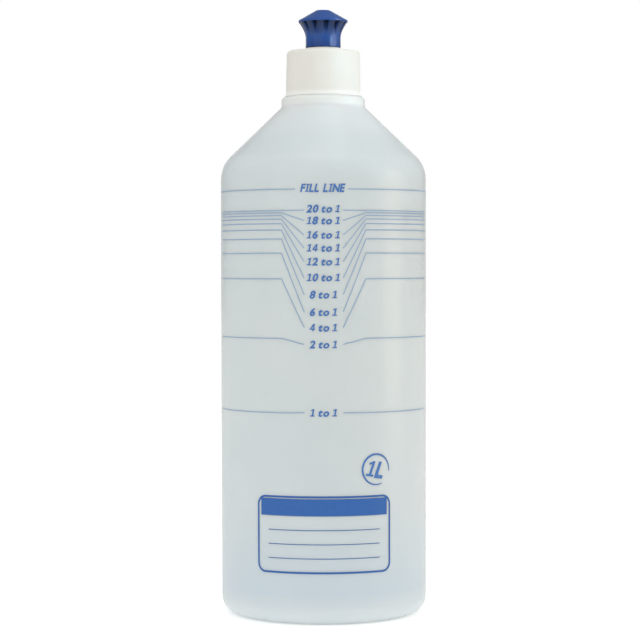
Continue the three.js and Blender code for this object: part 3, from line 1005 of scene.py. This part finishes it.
# Places, aims and sizes of the lamps are in metres, their power in watts.
lamps = (
    dict(name="keyLamp", place=(1.05, -0.16, 0.3), aim=(0, 0, 0.2), size=(0.46, 0.6), power=1.3,
         spread=180.0, tint="#ffeeda"),
    dict(name="fillLamp", place=(-0.8, -1.2, 0.5), aim=(0, 0, 0.13), size=(1.2, 1.2), power=1.6,
         spread=180.0, tint="#ffffff"),
    dict(name="topLamp", place=(0.1, -0.3, 1.3), aim=(0, 0, 0.13), size=(0.8, 0.8), power=1.2,
         spread=180.0, tint="#ffffff"),
    dict(name="closureLamp", place=(0.6, -0.28, 0.34), aim=(0, 0, 0.25), size=(0.05, 0.05), power=0.0083,
         spread=14.0, tint="#c2ecff"),
)


# Looks along +Y: turned about X by 90 degrees less the tilt, and rolled a little.
def makeCamera(s):
    camera = bpy.data.cameras.new("camera")
    camera.lens = s["lens"]
    camera.sensor_width = s["sensor"]
    holder = bpy.data.objects.new("camera", camera)
    holder.location = np.array([s["eyeAside"], -s["eyeDistance"], s["eyeLevel"]]) * mm
    holder.rotation_euler = (math.radians(90 - s["tilt"]), math.radians(s["roll"]), 0)
    bpy.context.scene.collection.objects.link(holder)
    bpy.context.scene.camera = holder


# A lamp shines along its -Z, so its +Z is turned the way from aim to place: by acos of the way's height about
# X, then by atan2 of its x and -y about Z.
def makeLamps():
    for s in lamps:
        lamp = bpy.data.lights.new(s["name"], "AREA")
        lamp.shape = "RECTANGLE"
        lamp.size, lamp.size_y = s["size"]
        lamp.energy = s["power"]
        lamp.spread = math.radians(s["spread"])
        lamp.color = linear(s["tint"])[:3]
        holder = bpy.data.objects.new(s["name"], lamp)
        away = unit(np.array(s["place"]) - np.array(s["aim"]))
        holder.location = s["place"]
        holder.rotation_euler = (math.acos(away[2]), 0, math.atan2(away[0], -away[1]))
        bpy.context.scene.collection.objects.link(holder)


# White to the eye and through clear plastic. Gloss sees white where it faces the backdrop, behind the object
# and up to the backdrop's top edge, and the dimmer room elsewhere. All other light is even.
def makeWorld(s):
    world = bpy.data.worlds.new("studio")
    bpy.context.scene.world = world
    world.use_nodes = True
    tree = world.node_tree
    tree.nodes.clear()
    path = addNode(tree, "ShaderNodeLightPath", {})
    toward = addNode(tree, "ShaderNodeTexCoord", {}).outputs["Generated"]
    axes = addNode(tree, "ShaderNodeSeparateXYZ", {}, {0: toward})
    side, top = s["backdropSide"], s["backdropTop"]
    behind = addNode(tree, "ShaderNodeMapRange", {1: side, 2: side + s["backdropSideFade"]},
                     {0: axes.outputs["Y"]})
    under = addNode(tree, "ShaderNodeMapRange", {1: top, 2: top - s["backdropTopFade"]},
                    {0: axes.outputs["Z"]})
    backdrop = addNode(tree, "ShaderNodeMath", {"operation": "MULTIPLY"},
                       {0: behind.outputs[0], 1: under.outputs[0]})
    mirrored = addNode(tree, "ShaderNodeMapRange", {3: s["room"], 4: 1.0}, {0: backdrop.outputs[0]})
    light = addNode(tree, "ShaderNodeMix", {2: s["world"]},
                    {0: path.outputs["Is Glossy Ray"], 3: mirrored.outputs[0]})
    seen = addNode(tree, "ShaderNodeMath", {"operation": "MAXIMUM"},
                   {0: path.outputs["Is Camera Ray"], 1: path.outputs["Is Transmission Ray"]})
    strength = addNode(tree, "ShaderNodeMix", {3: 1.0}, {0: seen.outputs[0], 2: light.outputs[0]})
    shader = addNode(tree, "ShaderNodeBackground", {"Color": linear("#ffffff")},
                     {"Strength": strength.outputs[0]})
    addNode(tree, "ShaderNodeOutputWorld", {}, {"Surface": shader.outputs[0]})


# Matt white paper; a little glow that only the eye sees carries it to white, and the shadow stays. A light
# box under it lights the foot of the bottle.
def makeFloor(s):
    material, tree = newMaterial("white-studio-paper")
    place = addNode(tree, "ShaderNodeTexCoord", {}).outputs["Object"]
    fibre = addNode(tree, "ShaderNodeTexNoise", {"Scale": perMetre(s["fibre"]), "Detail": 3},
                    {"Vector": place})
    bump = addNode(tree, "ShaderNodeBump", {"Strength": 1, "Distance": s["fibreDepth"] * mm},
                   {"Height": fibre.outputs[0]})
    path = addNode(tree, "ShaderNodeLightPath", {})
    away = addNode(tree, "ShaderNodeVectorMath", {"operation": "LENGTH"}, {0: place})
    near, far = s["footGlowReach"]
    under = addNode(tree, "ShaderNodeMapRange", {1: near * mm, 2: far * mm, 3: s["footGlow"], 4: 0},
                    {0: away.outputs["Value"]})
    glow = addNode(tree, "ShaderNodeMix", {3: s["floorGlow"]},
                   {0: path.outputs["Is Camera Ray"], 2: under.outputs[0]})
    shader = addNode(tree, "ShaderNodeBsdfPrincipled",
                     {"Base Color": linear(s["floorTint"]), "Roughness": s["floorRoughness"],
                      "Specular IOR Level": 0.0, "Emission Color": linear("#ffffff")},
                     {"Normal": bump.outputs[0], "Emission Strength": glow.outputs[0]})
    addNode(tree, "ShaderNodeOutputMaterial", {}, {"Surface": shader.outputs[0]})
    reach = s["floorReach"] * mm
    corners = [(-reach, -reach, 0), (reach, -reach, 0), (reach, reach, 0), (-reach, reach, 0)]
    mesh = bpy.data.meshes.new("floor")
    mesh.from_pydata(corners, [], [(0, 1, 2, 3)])
    mesh.materials.append(material)
    floor = bpy.data.objects.new("floor", mesh)
    bpy.context.scene.collection.objects.link(floor)


bpy.context.scene.view_settings.view_transform = "Standard"
makeCamera(studio)
makeLamps()
makeWorld(studio)
makeFloor(studio)
print("studio set")

makeBottle(makePolyethylene(naturalPolyethylene))
wordFilm = makeInk(wordInk)
makeScale(wordFilm, makeInk(lineInk))
makeMark(wordFilm)
makePanel(makeInk(panelInk))
print("bottle printed")
makeLiner(makeFoam(linerFoam))
makeCap(makeMoulded(whitePolypropylene))
makeSpout(makeMoulded(bluePolyethylene))
print("pieces made")
